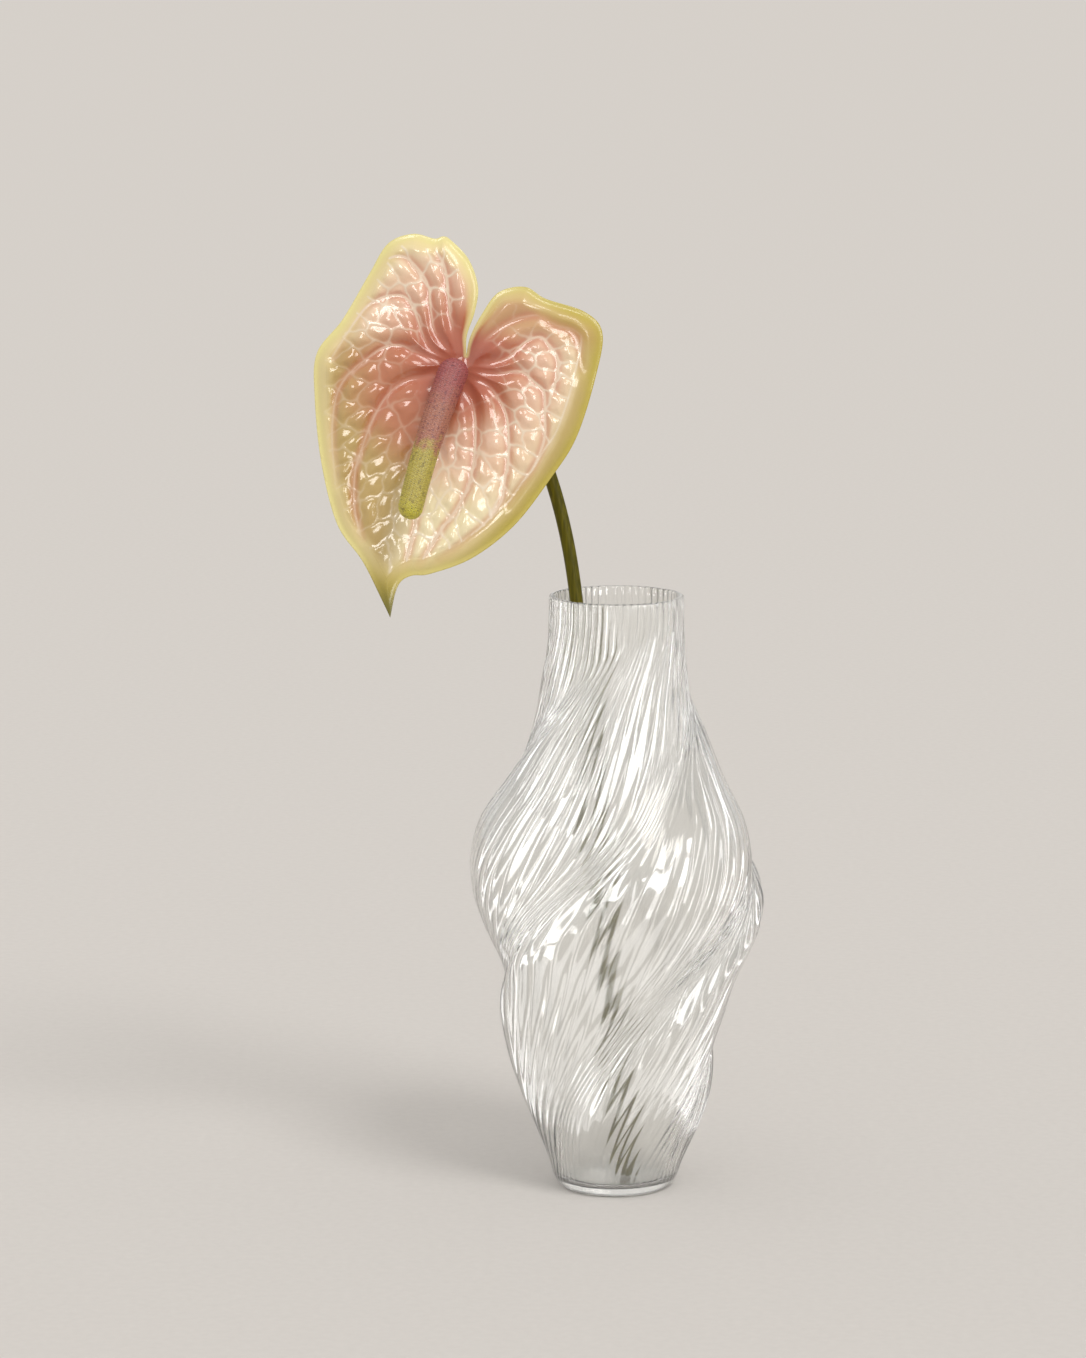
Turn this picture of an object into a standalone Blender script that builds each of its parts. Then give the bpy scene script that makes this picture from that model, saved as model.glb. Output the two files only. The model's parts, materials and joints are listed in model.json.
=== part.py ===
"""A cut anthurium stem standing in a swirled, ribbed glass vase. Metres, +Z up, -Y is the front.

The origin is the centre of the vase's foot. The stem rests on the vase's floor and leans on the inside
of its rim, and the bloom stands out to the left of the vase.
"""

import math

import bmesh
import bpy
import numpy as np
from mathutils import Vector
from mathutils.geometry import delaunay_2d_cdt

MM = 0.001

# Vase: height, and the outer radius at each height, from the foot to the rim.
VASE_HEIGHT = 0.270
VASE_PROFILE_MM = [
    (0, 25.0), (2, 26.8), (12, 30.2), (41, 41.0), (80, 49.6), (100, 53.8), (120, 61.2), (138, 64.5),
    (150, 63.8), (168, 58.3), (188, 47.2), (216, 36.2), (242, 30.9), (257, 29.9), (270, 29.8),
]
# The three broad folds: where each starts at the rim, how far they have turned by each height, in degrees
# counted from the rim down, and how deep they are there, as a share of the radius.
FOLD_DEG = [30, 170, 285]
TWIST_DEG = [(0, 325), (20, 318), (48, 298), (163, 155), (206, 96), (245, 20), (254, 4), (270, 0)]
FOLD_SHARE = [(0, 0.0), (8, 0.01), (25, 0.04), (60, 0.06), (100, 0.06), (150, 0.045), (215, 0.03), (252, 0.0)]
# The ribs swirl less than the folds, and bunch up above each fold by as much as the bend.
RIBS = 28
RIB_TWIST_DEG = [
    (0, 155), (12, 152), (30, 142), (60, 122), (90, 102), (125, 80), (165, 57), (200, 37), (225, 19),
    (245, 5.5), (257, 1), (270, 0),
]
RIB_BEND_DEG = [(0, 0), (25, 5), (60, 8), (200, 8), (235, 4), (255, 0)]
RIB_BEND_SHIFT_DEG = 15
BEND_STEPS = 20
BEND_STEP_SHARE = 0.6
RIB_HEIGHT = 0.00055
RIB_FADE_MM = [(0, 0.0), (14, 1.0), (262, 1.0), (270, 0.6)]
SAMPLES_A_RIB = 4
OUTER_ROWS = 28
INNER_COLUMNS = 48
INNER_ROWS = 20
WALL = 0.0021
FLOOR_Z = 0.004
FLOOR_CORNER = 0.008
MOUTH_CUT = 0.004

# Stem: its diameter and the route of its centre line, from the cut end to the back of the bloom.
STEM_DIAMETER = 0.006
STEM_ROUTE_MM = [
    (5.4, -4.9, 5.0), (-1.1, 0.8, 78.0), (-6.7, 5.8, 140.0), (-12.4, 10.7, 204.0), (-15.7, 13.5, 242.0),
    (-18.3, 15.9, 270.0), (-22.5, 17.9, 295.0), (-28.9, 18.5, 319.0), (-38.0, 15.5, 343.5), (-51.0, 9.0, 361.0),
    (-62.0, 2.0, 369.5), (-68.5, -3.6, 372.2),
]
STEM_POINTS = 30

# Spathe: where its blade meets the stem, and how the blade is turned.
SPATHE_BASE = Vector((-0.0670, -0.0120, 0.3778))
SPATHE_AZIMUTH = math.radians(6)
SPATHE_ELEVATION = math.radians(12)
SPATHE_ROLL = math.radians(14.8)
FORWARD = Vector((0.0, -1.0, 0.1)).normalized()
BLADE_THICKNESS = 0.0012
BLADE_SPACING_MM = 4.2
# The blade's outline in its own plane: across to the right, and down towards the tip, in millimetres.
NOTCH = (0.3, -0.5)
TIP = (0.0, 119.7)
LEFT_EDGE_MM = [
    NOTCH, (-1.8, -9), (-1.3, -20), (-3.0, -31), (-10.3, -41.5), (-20.5, -47.7), (-24.2, -48.2), (-27.5, -46.3),
    (-37.4, -45.8), (-46.9, -38.7), (-51.4, -23.1), (-57.2, -1.1), (-64.2, 16.4), (-59.7, 35.5),
    (-48.8, 62.4), (-34.3, 86.6), (-18.5, 99.5), (-4.4, 114.7), TIP,
]
RIGHT_EDGE_MM = [
    TIP, (-0.8, 108.9), (0.3, 103), (4.4, 99.3), (11.9, 96.4), (27.8, 84.8), (41.7, 66.1), (51.5, 41.9),
    (57.5, 21.2), (58.2, -7.7), (55.7, -26), (45.7, -32.8), (27.4, -33.8), (17.1, -36.4), (6.6, -31.1),
    (2.0, -19.8), (-0.2, -8.9), NOTCH,
]
# The main veins, each from the base outwards, in the same plane.
VEINS_MM = [
    [(-3, 8), (-2, 50), (0, 90), (0, 116)],
    [(-6, 8), (-23, 18), (-32, 40), (-33, 62), (-24, 90)],
    [(-6, 5), (-22, 4), (-36, 6), (-47, 20), (-49, 45), (-40, 70)],
    [(-6, 3), (-17, 0), (-27, -13), (-39, -17), (-49, -8), (-56, 10)],
    [(-5, 1), (-15, -6), (-24, -25), (-38, -35), (-49, -27), (-53, -12)],
    [(-4, -2), (-12, -17), (-16, -28), (-25, -41)],
    [(2, 2), (6, -8), (13, -18), (28, -26), (44, -22), (52, -8)],
    [(3, 3), (17, -3), (30, -17), (40, -8), (48, 10)],
    [(4, 5), (15, 4), (33, 3), (41, 15), (44, 32), (36, 58)],
    [(3, 8), (17, 12), (28, 28), (32, 48), (28, 72), (14, 90)],
    [(2, 10), (10, 21), (17, 47), (15, 66), (6, 94)],
]
# The blade's form: how far each part stands forward or back of the plane, and the size of the net's cells.
RIGHT_FALL_MM = 9.0
LEFT_FALL_MM = 4.0
LOBE_WIDTH_MM = 60.0
BASE_DIP_MM = 5.0
BASE_DIP_WIDTH_MM = 13.0
BASE_MIDDLE_MM = (-2.0, 6.0)
TOP_RISE_MM = 4.0
TOP_MM = 45.0
MIDRIB_DIP_MM = 4.0
MIDRIB_MM = 110.0
ROLLED_MARGIN_MM = 2.5
ROLL_WIDTH_MM = 4.0
PILLOW_HEIGHT_MM = 1.5
VEIN_WIDTH_MM = 3.6
CELL_HEIGHT_MM = 0.7
CELL_PITCH_MM = 14.0
MARGIN_MM = (3.0, 9.0)
SMOOTH_BASE_MM = 20.0

# Spadix: its two ends, its diameters and its florets.
SPADIX_BASE = Vector((-0.0702, -0.0117, 0.3762))
SPADIX_TIP = Vector((-0.0914, -0.0495, 0.3110))
SPADIX_BOW = 0.0015
SPADIX_RADIUS_MM = [(0.0, 6.9), (0.3, 6.2), (0.75, 5.6), (1.0, 5.3)]
FLORET_HEIGHT = 0.00045
FLORETS_AROUND = 8
FLORET_ROWS = 15
SPADIX_COLUMNS = 24
SPADIX_RINGS = 34


def smooth_value(points, at):
    """A smooth curve through (position, value) points that never overshoots between them."""
    x, y = np.array(points, float).T
    at = np.clip(at, x[0], x[-1])
    steps = np.diff(y) / np.diff(x)
    slopes = np.concatenate([[steps[0]], (steps[1:] + steps[:-1]) / 2, [steps[-1]]])
    turning = np.concatenate([[False], steps[1:] * steps[:-1] <= 0, [False]])
    slopes[turning] = 0.0
    most = 3 * np.minimum(np.abs(np.append(steps, steps[-1])), np.abs(np.insert(steps, 0, steps[0])))
    slopes = np.clip(slopes, -most, most)
    i = np.clip(np.searchsorted(x, at, side="right") - 1, 0, len(x) - 2)
    width = x[i + 1] - x[i]
    t = (at - x[i]) / width
    rise = y[i] * (1 + 2 * t) * (1 - t) ** 2 + y[i + 1] * t**2 * (3 - 2 * t)
    return rise + width * (slopes[i] * t * (1 - t) ** 2 - slopes[i + 1] * t**2 * (1 - t))


def smooth_path(points, count):
    """Points spread evenly along a Catmull-Rom curve through the given ones."""
    points = np.array(points, float)
    padded = np.concatenate([[2 * points[0] - points[1]], points, [2 * points[-1] - points[-2]]])
    fine = []
    for a, b, c, d in zip(padded, padded[1:], padded[2:], padded[3:]):
        for t in np.linspace(0, 1, 24, endpoint=False):
            fine.append(
                0.5 * (2 * b + (c - a) * t + (2 * a - 5 * b + 4 * c - d) * t**2 + (3 * b - a - 3 * c + d) * t**3)
            )
    fine = np.array(fine + [points[-1]])
    along = np.concatenate([[0], np.cumsum(np.linalg.norm(np.diff(fine, axis=0), axis=1))])
    wanted = np.linspace(0, along[-1], count)
    return np.stack([np.interp(wanted, along, fine[:, k]) for k in range(fine.shape[1])], axis=1)


def path_length(points):
    return np.linalg.norm(np.diff(np.array(points, float), axis=0), axis=1).sum()


def material(name, colour, roughness, transmission=0.0):
    made = bpy.data.materials.new(name)
    made.use_nodes = True
    shader = made.node_tree.nodes["Principled BSDF"]
    shader.inputs["Base Color"].default_value = (*colour, 1.0)
    shader.inputs["Roughness"].default_value = roughness
    shader.inputs["Transmission Weight"].default_value = transmission
    made.diffuse_color = (*colour, 1.0)
    return made


def add_object(name, mesh, surface, collection):
    made = bpy.data.objects.new(name, mesh)
    if surface:
        mesh.materials.append(surface)
    mesh.shade_smooth()
    collection.objects.link(made)
    return made


def mesh_of(name, shape, split="SHORT_EDGE"):
    """Turns a closed bmesh into a mesh of triangles that face outwards."""
    bmesh.ops.triangulate(shape, faces=shape.faces, quad_method=split)
    if shape.calc_volume(signed=True) < 0:
        bmesh.ops.reverse_faces(shape, faces=shape.faces)
    mesh = bpy.data.meshes.new(name)
    shape.to_mesh(mesh)
    shape.free()
    return mesh


def fold_wave(pattern_deg):
    """The folds round the vase: a steep rise at each fold, then a long fall to the next."""
    starts = np.array(FOLD_DEG + [FOLD_DEG[0] + 360], float)
    turned = (pattern_deg - starts[0]) % 360 + starts[0]
    i = np.clip(np.searchsorted(starts, turned, side="right") - 1, 0, len(FOLD_DEG) - 1)
    t = 2 * math.pi * (turned - starts[i]) / (starts[i + 1] - starts[i])
    return np.sin(t) + 0.35 * np.sin(2 * t) + 0.12 * np.sin(3 * t)


def rib_azimuth(rib_deg, z):
    """Where round the vase a rib stands at this height, found by a few steps towards the answer."""
    height = z / MM
    swirl = smooth_value(TWIST_DEG, height) + RIB_BEND_SHIFT_DEG
    most = smooth_value(RIB_BEND_DEG, height)
    straight = rib_deg - smooth_value(RIB_TWIST_DEG, height)
    azimuth = straight
    for _ in range(BEND_STEPS):
        azimuth -= BEND_STEP_SHARE * (azimuth + most * fold_wave(azimuth + swirl) - straight)
    return azimuth


def vase_point(azimuth_deg, z, inset=0.0, rib_share=0.0):
    """A point of the vase's wall, this far inside its surface, or out on a rib by a share of its height."""
    height = z / MM
    folds = fold_wave(azimuth_deg + smooth_value(TWIST_DEG, height))
    radius = smooth_value(VASE_PROFILE_MM, height) * MM * (1 + smooth_value(FOLD_SHARE, height) * folds)
    radius += RIB_HEIGHT * smooth_value(RIB_FADE_MM, height) * rib_share - inset
    turned = math.radians(azimuth_deg)
    return Vector((radius * math.sin(turned), -radius * math.cos(turned), z))


def closed_loft(rings):
    """Joins rings of points, from the lowest up, and closes both ends with a flat face."""
    shape = bmesh.new()
    rows = [[shape.verts.new(point) for point in ring] for ring in rings]
    for low, high in zip(rows, rows[1:]):
        for k in range(len(low)):
            after = (k + 1) % len(low)
            shape.faces.new((low[k], low[after], high[after], high[k]))
    shape.faces.new(rows[0][::-1])
    shape.faces.new(rows[-1])
    return shape


def vase_blank():
    columns = RIBS * SAMPLES_A_RIB
    heights = VASE_HEIGHT * np.linspace(0, 1, OUTER_ROWS - 1)
    heights = np.sort(np.append(heights, [0.002, 0.005]))
    rings = []
    for z in heights:
        ring = []
        for k in range(columns):
            azimuth = rib_azimuth(k * 360 / columns, z)
            ring.append(vase_point(azimuth, z, rib_share=math.cos(2 * math.pi * k / SAMPLES_A_RIB)))
        rings.append(ring)
    return mesh_of("vase", closed_loft(rings))


def hollow_ring(z, inset):
    return [vase_point(k * 360 / INNER_COLUMNS, z, inset) for k in range(INNER_COLUMNS)]


def hollow_rings():
    """The space inside the wall, from a rounded floor corner to above the rim."""
    low_corner = 0.3 * FLOOR_CORNER
    rings = [hollow_ring(FLOOR_Z, WALL + FLOOR_CORNER), hollow_ring(FLOOR_Z + low_corner, WALL + low_corner)]
    heights = np.linspace(FLOOR_Z + FLOOR_CORNER, VASE_HEIGHT, INNER_ROWS)
    rings += [hollow_ring(z, WALL) for z in heights]
    return rings + [[Vector((p.x, p.y, VASE_HEIGHT + MOUTH_CUT)) for p in rings[-1]]]


def build_vase(parts, cutters):
    glass = material("clear_glass", (0.92, 0.93, 0.92), 0.03, transmission=1.0)
    vase = add_object("vase", vase_blank(), glass, parts)
    mesh = mesh_of("vase_hollow", closed_loft(hollow_rings()), split="FIXED")
    cut_away(vase, add_object("vase_hollow", mesh, None, cutters))


def cut_away(target, cutter):
    cutter.hide_render = True
    cutter.display_type = "WIRE"
    cut = target.modifiers.new("cut", "BOOLEAN")
    cut.operation = "DIFFERENCE"
    cut.solver = "EXACT"
    cut.object = cutter


def build_stem(parts):
    curve = bpy.data.curves.new("stem", "CURVE")
    curve.dimensions = "3D"
    curve.bevel_depth = STEM_DIAMETER / 2
    curve.bevel_resolution = 4
    curve.use_fill_caps = True
    points = smooth_path(STEM_ROUTE_MM, STEM_POINTS) * MM
    spline = curve.splines.new("POLY")
    spline.points.add(len(points) - 1)
    for spot, place in zip(spline.points, points):
        spot.co = (*place, 1.0)
    curve.materials.append(material("stem_green", (0.13, 0.13, 0.03), 0.45))
    parts.objects.link(bpy.data.objects.new("stem", curve))


def blade_axes():
    """The blade's directions: across to the right, and down its midrib."""
    level = math.cos(SPATHE_ELEVATION)
    facing = Vector(
        (-math.sin(SPATHE_AZIMUTH) * level, -math.cos(SPATHE_AZIMUTH) * level, math.sin(SPATHE_ELEVATION))
    )
    steepest = Vector((0, 0, -1)) + facing * facing.z
    right = facing.cross(steepest).normalized()
    down = steepest.normalized()
    along = down * math.cos(SPATHE_ROLL) - right * math.sin(SPATHE_ROLL)
    across = right * math.cos(SPATHE_ROLL) + down * math.sin(SPATHE_ROLL)
    return across, along


def distance_to_lines(points, lines):
    """The distance of each flat point from the nearest of these polylines."""
    nearest = np.full(len(points), np.inf)
    for line in lines:
        for a, b in zip(line[:-1], line[1:]):
            side = b - a
            t = np.clip((points - a) @ side / (side @ side), 0, 1)
            nearest = np.minimum(nearest, np.linalg.norm(points - a - t[:, None] * side, axis=1))
    return nearest


def blade_depth(points, edge):
    """How far the blade stands forward of its flat plane, in millimetres."""
    u, v = points.T
    from_base = np.linalg.norm(points - BASE_MIDDLE_MM, axis=1)
    margin = distance_to_lines(points, [edge])
    depth = -np.where(u > 0, RIGHT_FALL_MM, LEFT_FALL_MM) * (u / LOBE_WIDTH_MM) ** 2
    depth -= BASE_DIP_MM * np.exp(-((from_base / BASE_DIP_WIDTH_MM) ** 2))
    depth += TOP_RISE_MM * np.clip(-v / TOP_MM, 0, 1) ** 2
    depth -= MIDRIB_DIP_MM * np.sin(np.clip(v / MIDRIB_MM, 0, 1) * math.pi)
    depth -= ROLLED_MARGIN_MM * np.exp(-((margin / ROLL_WIDTH_MM) ** 2))
    from_vein = distance_to_lines(points, [smooth_path(vein, 24) for vein in VEINS_MM])
    plain_width, fade_width = MARGIN_MM
    inner = np.clip((margin - plain_width) / fade_width, 0, 1) * np.clip(from_base / SMOOTH_BASE_MM, 0, 1)
    pillow = PILLOW_HEIGHT_MM * (1 - np.exp(-((from_vein / VEIN_WIDTH_MM) ** 2)))
    pitch = 2 * math.pi / CELL_PITCH_MM
    cells = CELL_HEIGHT_MM * np.cos(pitch * u) * np.cos(pitch * v)
    return depth + inner * (pillow + cells)


def blade_triangles():
    """The flat outline filled with even triangles."""
    left = smooth_path(LEFT_EDGE_MM, int(path_length(LEFT_EDGE_MM) / BLADE_SPACING_MM) + 2)
    right = smooth_path(RIGHT_EDGE_MM, int(path_length(RIGHT_EDGE_MM) / BLADE_SPACING_MM) + 2)
    edge = np.concatenate([left[:-1], right[:-1]])
    row_height = BLADE_SPACING_MM * math.sqrt(3) / 2
    lattice = []
    for row in range(-14, 34):
        for column in range(-17, 17):
            lattice.append(((column + row % 2 / 2) * BLADE_SPACING_MM, row * row_height))
    lattice = np.array(lattice)
    loop = np.concatenate([edge, edge[:1]])
    lattice = lattice[distance_to_lines(lattice, [loop]) > 0.55 * BLADE_SPACING_MM]
    points = [Vector(p) for p in np.concatenate([edge, lattice])]
    sides = [(k, (k + 1) % len(edge)) for k in range(len(edge))]
    flat, _, faces, _, _, _ = delaunay_2d_cdt(points, sides, [], 1, 1e-5)
    return np.array([tuple(p) for p in flat]), faces, loop


def build_spathe(parts):
    flat, faces, loop = blade_triangles()
    used = sorted({k for face in faces for k in face})
    depth = blade_depth(flat, loop)
    across, along = blade_axes()
    shape = bmesh.new()
    front, back = {}, {}
    for k in used:
        place = SPATHE_BASE + (across * flat[k, 0] + along * flat[k, 1] + FORWARD * depth[k]) * MM
        front[k] = shape.verts.new(place)
        back[k] = shape.verts.new(place - FORWARD * BLADE_THICKNESS)
    for face in faces:
        shape.faces.new([front[k] for k in face])
        shape.faces.new([back[k] for k in reversed(face)])
    close_edge(shape, faces, front, back)
    waxy = material("spathe_peach", (0.75, 0.48, 0.25), 0.25)
    add_object("spathe", mesh_of("spathe", shape), waxy, parts)


def close_edge(shape, faces, front, back):
    """Joins the blade's two faces all round its outline."""
    directed = {(face[i], face[(i + 1) % 3]) for face in faces for i in range(3)}
    for a, b in directed:
        if (b, a) not in directed:
            shape.faces.new((front[b], front[a], back[a], back[b]))


def build_spadix(parts):
    axis = SPADIX_TIP - SPADIX_BASE
    length = axis.length
    turn = axis.to_track_quat("Z", "Y")
    side = Vector((-1.0, 0.0, 0.0))
    shape = bmesh.new()
    bmesh.ops.create_uvsphere(shape, u_segments=SPADIX_COLUMNS, v_segments=SPADIX_RINGS, radius=1.0)
    for vert in shape.verts:
        angle = math.atan2(vert.co.y, vert.co.x)
        share = (1 + math.asin(max(-1.0, min(1.0, vert.co.z))) / (math.pi / 2)) / 2
        full = float(smooth_value(SPADIX_RADIUS_MM, share)) * MM
        from_end = min(share, 1 - share) * length
        rounding = math.sqrt(max(0.0, 1 - (1 - min(1.0, from_end / full)) ** 2))
        floret = math.cos(FLORETS_AROUND * angle + math.pi * FLORET_ROWS * share)
        floret *= math.cos(FLORETS_AROUND * angle - math.pi * FLORET_ROWS * share)
        radius = (full + FLORET_HEIGHT * floret) * rounding
        local = Vector((radius * math.cos(angle), radius * math.sin(angle), share * length))
        vert.co = SPADIX_BASE + turn @ local + side * SPADIX_BOW * math.sin(math.pi * share)
    pink = material("spadix_pink", (0.4, 0.2, 0.2), 0.6)
    add_object("spadix", mesh_of("spadix", shape), pink, parts)


def main():
    for old in list(bpy.data.objects):
        bpy.data.objects.remove(old)
    parts = bpy.data.collections.new("anthurium_in_vase")
    cutters = bpy.data.collections.new("cutters")
    for collection in (parts, cutters):
        bpy.context.scene.collection.children.link(collection)
    build_vase(parts, cutters)
    build_stem(parts)
    build_spathe(parts)
    build_spadix(parts)


main()
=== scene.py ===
"""The looks of the cut anthurium in its ribbed glass vase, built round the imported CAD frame.

Metres, +Z up, -Y is the front. The vase, stem, spathe and spadix follow the same curves as the CAD solids
that they stand for, with finer ribs, veins and florets.
"""

import json
import math

import bmesh
import bpy
import numpy as np
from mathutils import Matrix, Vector
from mathutils.geometry import delaunay_2d_cdt

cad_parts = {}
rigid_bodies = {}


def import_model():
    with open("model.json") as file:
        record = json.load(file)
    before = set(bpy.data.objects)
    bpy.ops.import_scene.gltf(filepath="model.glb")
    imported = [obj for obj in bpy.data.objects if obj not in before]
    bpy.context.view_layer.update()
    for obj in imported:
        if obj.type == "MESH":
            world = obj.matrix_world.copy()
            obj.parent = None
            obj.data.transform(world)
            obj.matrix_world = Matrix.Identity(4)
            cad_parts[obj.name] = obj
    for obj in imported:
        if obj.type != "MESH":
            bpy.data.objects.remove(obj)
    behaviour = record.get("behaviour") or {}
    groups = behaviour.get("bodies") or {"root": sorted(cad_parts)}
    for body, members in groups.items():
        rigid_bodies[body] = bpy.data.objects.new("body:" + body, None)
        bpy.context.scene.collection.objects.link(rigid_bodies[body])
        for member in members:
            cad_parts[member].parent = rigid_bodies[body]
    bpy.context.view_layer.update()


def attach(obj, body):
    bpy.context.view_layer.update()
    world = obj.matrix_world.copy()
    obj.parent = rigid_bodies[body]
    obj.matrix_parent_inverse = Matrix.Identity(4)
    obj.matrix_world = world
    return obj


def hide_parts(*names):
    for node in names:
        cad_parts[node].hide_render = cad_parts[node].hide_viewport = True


MM = 0.001
PATH_STEPS = 24

# Camera: an upright frame, seen with a long lens from a little above.
CAMERA_PLACE = (-0.03274, -2.1152, 0.58589)
CAMERA_PITCH_DEG = 9.5
CAMERA_LENS_MM = 127.2
SENSOR_MM = 36.0

# Vase: the outer radius at each height, from the foot to the rim.
VASE_HEIGHT = 0.270
VASE_PROFILE_MM = [
    (0, 25.0), (2, 26.8), (12, 30.2), (41, 41.0), (80, 49.6), (100, 53.8), (120, 61.2), (138, 64.5),
    (150, 63.8), (168, 58.3), (188, 47.2), (216, 36.2), (242, 30.9), (257, 29.9), (270, 29.8),
]
# The three broad folds: where each starts at the rim, how far they have turned by each height, in degrees
# counted from the rim down, and how deep they are there, as a share of the radius.
FOLD_DEG = [30, 170, 285]
TWIST_DEG = [(0, 325), (20, 318), (48, 298), (163, 155), (206, 96), (245, 20), (254, 4), (270, 0)]
FOLD_SHARE = [
    (0, 0.0), (8, 0.01), (25, 0.04), (60, 0.06), (100, 0.06), (150, 0.045), (215, 0.03), (252, 0.0),
]
FOLD_SHARPNESS = 0.62
WAVE_TERMS = 6
# The ribs swirl less than the folds, and bunch up above each fold by as much as the bend.
RIBS = 56
RIB_TWIST_DEG = [
    (0, 155), (12, 152), (30, 142), (60, 122), (90, 102), (125, 80), (165, 57), (200, 37), (225, 19),
    (245, 5.5), (257, 1), (270, 0),
]
RIB_BEND_DEG = [(0, 0), (25, 5), (60, 8), (200, 8), (235, 4), (255, 0)]
RIB_BEND_SHIFT_DEG = 15
RIB_BEND_SHARPNESS = 0.65
BEND_STEPS = 20
BEND_STEP_SHARE = 0.6
RIB_HEIGHT_MM = [(0, 0.0), (6, 0.1), (30, 0.46), (150, 0.54), (215, 0.5), (262, 0.6), (270, 0.5)]
RIB_CREST_POWER = 1.7
RIB_SINK = 0.4
# Waves that make the ribs uneven. Each has its size, how many go round the vase, and the height in
# millimetres over which it shifts by a radian, which is negative for a shift the other way.
RIB_DRIFT_WAVES = [(0.8, 3, 38), (0.6, 8, -27)]
RIB_DEPTH_WAVES = [(0.3, 5, 30), (0.25, 13, -45)]
SAMPLES_A_RIB = 8
OUTER_ROWS = 130
INNER_ROWS = 56
LIP_STEPS = 8
CORNER_STEPS = 6
# The rings that close the foot and the inside floor, as shares of the radius, and those of the foot's edge.
FOOT_SHARES = (0.02, 0.5, 0.92, 0.985)
INSIDE_FLOOR_SHARES = (0.9, 0.5, 0.02)
FOOT_EDGE_HEIGHTS = (0.0004, 0.0011, 0.002)
WALL_STARTS = 0.004
WALL = 0.0021
LIP_ROUND = 0.0008
FLOOR_Z = 0.004
FLOOR_CORNER = 0.004

# Stem: its diameter and the route of its centre line, from the cut end to the back of the bloom.
STEM_DIAMETER = 0.006
STEM_ROUTE_MM = [
    (5.4, -4.9, 5.0), (-1.1, 0.8, 78.0), (-6.7, 5.8, 140.0), (-12.4, 10.7, 204.0), (-15.7, 13.5, 242.0),
    (-18.3, 15.9, 270.0), (-22.5, 17.9, 295.0), (-28.9, 18.5, 319.0), (-38.0, 15.5, 343.5),
    (-51.0, 9.0, 361.0), (-62.0, 2.0, 369.5), (-68.5, -3.6, 372.2),
]
STEM_RINGS = 260
STEM_COLUMNS = 48
STEM_RIDGES = 11
STEM_RIDGE_HEIGHT = 0.00004

# Spathe: where its blade meets the stem, how the blade is turned, and which way its relief stands out.
SPATHE_BASE = Vector((-0.0670, -0.0120, 0.3778))
SPATHE_AZIMUTH = math.radians(6)
SPATHE_ELEVATION = math.radians(12)
SPATHE_ROLL = math.radians(14.8)
FORWARD = Vector((0.0, -1.0, 0.1)).normalized()
BLADE_THICKNESS = 0.0012
# The triangles' size, and how clear of the outline their inner corners stay, as a share of it.
BLADE_SPACING_MM = 0.57
EDGE_CLEARANCE = 0.55
# The outline, across and down from where the stem joins: the notch, the tip and the two edges between them.
NOTCH = (0.3, -0.5)
TIP = (0.0, 119.7)
LEFT_EDGE_MM = [
    NOTCH, (-1.8, -9), (-1.3, -20), (-3.0, -31), (-10.3, -41.5), (-20.5, -47.7), (-24.2, -48.2),
    (-27.5, -46.3), (-37.4, -45.8), (-46.9, -38.7), (-51.4, -23.1), (-57.2, -1.1), (-64.2, 16.4),
    (-59.7, 35.5), (-48.8, 62.4), (-34.3, 86.6), (-18.5, 99.5), (-4.4, 114.7), TIP,
]
RIGHT_EDGE_MM = [
    TIP, (-0.8, 108.9), (0.3, 103), (4.4, 99.3), (11.9, 96.4), (27.8, 84.8), (41.7, 66.1), (51.5, 41.9),
    (57.5, 21.2), (58.2, -7.7), (55.7, -26), (45.7, -32.8), (27.4, -33.8), (17.1, -36.4), (6.6, -31.1),
    (2.0, -19.8), (-0.2, -8.9), NOTCH,
]
# The main veins, each from the base outwards, in the blade's own plane.
VEINS_MM = [
    [(-3, 8), (-2, 50), (0, 90), (0, 116)],
    [(-6, 8), (-14, 13), (-23, 18), (-29, 27), (-32, 40), (-33, 51), (-33, 62), (-29, 77), (-22, 90)],
    [
        (-6, 5), (-22, 4), (-29, 3), (-36, 6), (-42, 13), (-47, 20), (-50, 28), (-50, 37), (-47, 51),
        (-40, 70),
    ],
    [(-6, 3), (-17, 0), (-27, -13), (-33, -18), (-39, -17), (-44, -14), (-49, -8), (-54, 6), (-57, 16)],
    [
        (-5, 1), (-15, -6), (-20, -15), (-24, -25), (-30, -31), (-38, -35), (-44, -33), (-49, -27),
        (-53, -12),
    ],
    [(-4, -2), (-12, -17), (-16, -28), (-20, -36), (-25, -41)],
    [(2, 2), (6, -8), (13, -18), (21, -24), (28, -26), (34, -24), (44, -22), (52, -8)],
    [(3, 3), (17, -3), (24, -13), (30, -17), (35, -14), (39, -11), (41, -5), (42, 4)],
    [(4, 5), (15, 4), (25, 0), (33, 3), (38, 6), (41, 15), (44, 27), (42, 42), (36, 58)],
    [(3, 8), (11, 9), (17, 12), (24, 19), (28, 28), (31, 39), (32, 48), (33, 58), (28, 70), (14, 90)],
    [(2, 10), (10, 21), (14, 32), (17, 47), (17, 56), (15, 66), (11, 77), (6, 94)],
]
VEIN_POINTS = 60
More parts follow.
